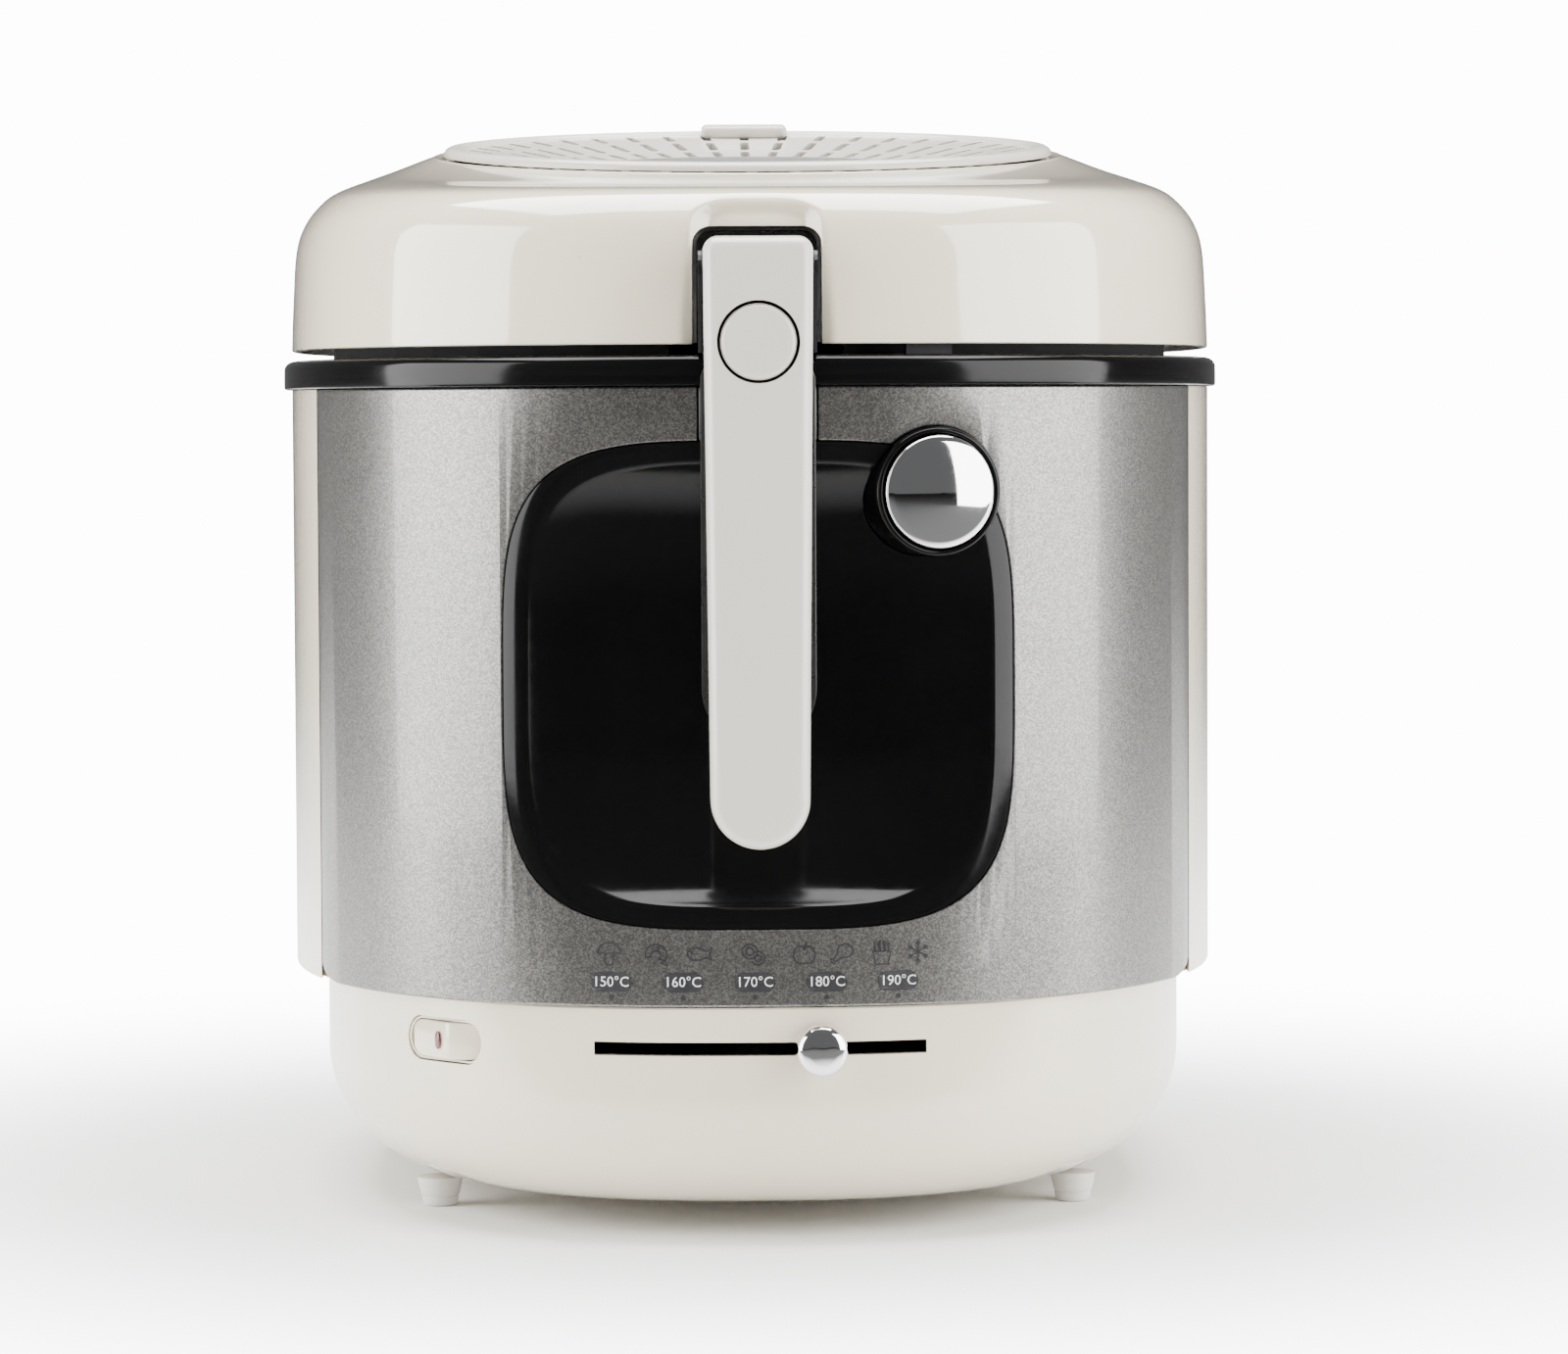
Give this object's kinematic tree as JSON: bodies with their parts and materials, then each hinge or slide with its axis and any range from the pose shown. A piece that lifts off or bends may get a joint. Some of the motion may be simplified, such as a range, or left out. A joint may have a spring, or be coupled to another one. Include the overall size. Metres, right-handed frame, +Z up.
{
  "type": "deep fryer",
  "caption": "Domestic deep fryer with hinged filtered lid, folding lift handle, wire basket, removable bowl, temperature slider and power rocker.",
  "frame": {"origin": "on the table, under the middle of the casing", "axes": "+Z up, the front with the handle faces -Y, the lid hinge is at +Y"},
  "size_m": [0.298, 0.4101, 0.3431],
  "materials": {
    "white_plastic": "glossy warm white moulded plastic",
    "light_plastic": "glossy light grey moulded plastic",
    "pale_plastic": "satin pale plastic",
    "silver_paint": "silver paint with fine metal flake under a clear coat",
    "black_plastic": "deep gloss black plastic",
    "black_paint": "black coated steel",
    "seal_rubber": "dark soft seal",
    "foot_rubber": "pale matt rubber",
    "bowl_coating": "dark non-stick coating on aluminium",
    "bare_aluminium": "bare cast aluminium",
    "element_steel": "heat-darkened tube",
    "plain_steel": "plain zinc-plated steel",
    "basket_wire": "tinned steel wire",
    "bright_chrome": "mirror chrome",
    "red_lens": "dull red window, unlit",
    "filter_felt": "dark grease filter felt"
  },
  "bodies": {
    "housing": {"base_tray": "white_plastic", "body_shell": "white_plastic", "switch_bezel": "white_plastic", "front_panel": "silver_paint", "handle_recess": "black_plastic", "handle_channel": "black_plastic", "rim_ring": "black_plastic", "button_collar": "black_plastic", "hinge_base": "black_plastic", "handle_bracket": "black_paint", "switch_body": "black_plastic", "terminal_block": "pale_plastic", "foot_front_left": "foot_rubber", "foot_front_right": "foot_rubber", "foot_rear_left": "foot_rubber", "foot_rear_right": "foot_rubber", "cord_inlet": "seal_rubber", "bowl": "bowl_coating", "heat_plate": "bare_aluminium", "heating_element": "element_steel", "heat_shield": "plain_steel", "thermal_fuse": "plain_steel", "thermostat_body": "plain_steel", "handle_pin": "plain_steel", "hinge_pin": "plain_steel", "lid_button_spring": "plain_steel", "bracket_screw_1": "plain_steel", "bracket_screw_2": "plain_steel", "base_screw_1": "plain_steel", "base_screw_2": "plain_steel", "base_screw_3": "plain_steel", "base_screw_4": "plain_steel"},
    "lid": {"lid_shell": "white_plastic", "notch_liner": "black_plastic", "lid_inner_panel": "pale_plastic", "lid_gasket": "seal_rubber", "latch_keeper": "plain_steel", "lid_hinge_arm": "black_plastic", "filter_cartridge": "filter_felt"},
    "filter_lid": {"filter_cover": "white_plastic"},
    "handle": {"handle_cover": "light_plastic", "handle_back": "black_plastic", "handle_button_spring": "plain_steel"},
    "grip_button": {"handle_button": "light_plastic"},
    "frying_basket": {"basket": "basket_wire", "basket_bracket": "basket_wire"},
    "release_button": {"lid_button": "bright_chrome", "latch_hook": "plain_steel"},
    "heat_slider": {"temperature_knob": "bright_chrome", "slider_arm": "plain_steel", "thermostat_shaft": "plain_steel"},
    "power_rocker": {"switch_rocker": "white_plastic", "switch_lens": "red_lens"}
  },
  "joints": [
    {"name": "lid_hinge", "type": "hinge", "parent": "housing", "child": "lid", "pos_m": [0, 0.197, 0.264], "axis": [-1, 0, 0], "range_deg": [0, 82]},
    {"name": "filter_cover_lift", "type": "slide", "parent": "lid", "child": "filter_lid", "axis": [0, -0.1028, 0.9947], "range_m": [0, 0.04]},
    {"name": "handle_fold", "type": "hinge", "parent": "housing", "child": "handle", "pos_m": [0, -0.196, 0.286], "axis": [-1, 0, 0], "range_deg": [0, 90]},
    {"name": "handle_button_press", "type": "slide", "parent": "handle", "child": "grip_button", "axis": [0, 1, 0], "range_m": [0, 0.0025], "stiffness_N_per_m": 400, "springref_m": -0.002, "deforming": ["handle_button_spring"]},
    {"name": "basket_lift", "type": "slide", "parent": "housing", "child": "frying_basket", "axis": [0, 0, 1], "range_m": [0, 0.045]},
    {"name": "lid_release", "type": "slide", "parent": "housing", "child": "release_button", "axis": [-0.2711, 0.9626, 0], "range_m": [0, 0.0035], "stiffness_N_per_m": 600, "springref_m": -0.002, "deforming": ["lid_button_spring"]},
    {"name": "temperature_slide", "type": "hinge", "parent": "housing", "child": "heat_slider", "pos_m": [0, 0.0333, 0.0586], "axis": [0, 0, 1], "range_deg": [-16.1, 6.1]},
    {"name": "power_switch", "type": "hinge", "parent": "housing", "child": "power_rocker", "pos_m": [-0.09086, -0.14702, 0.058], "axis": [0, 0, -1], "range_deg": [0, 8]}
  ],
  "couplings": [
    {"joint": "basket_lift", "follows": "handle_fold", "m_per_rad": 0.0286}
  ]
}
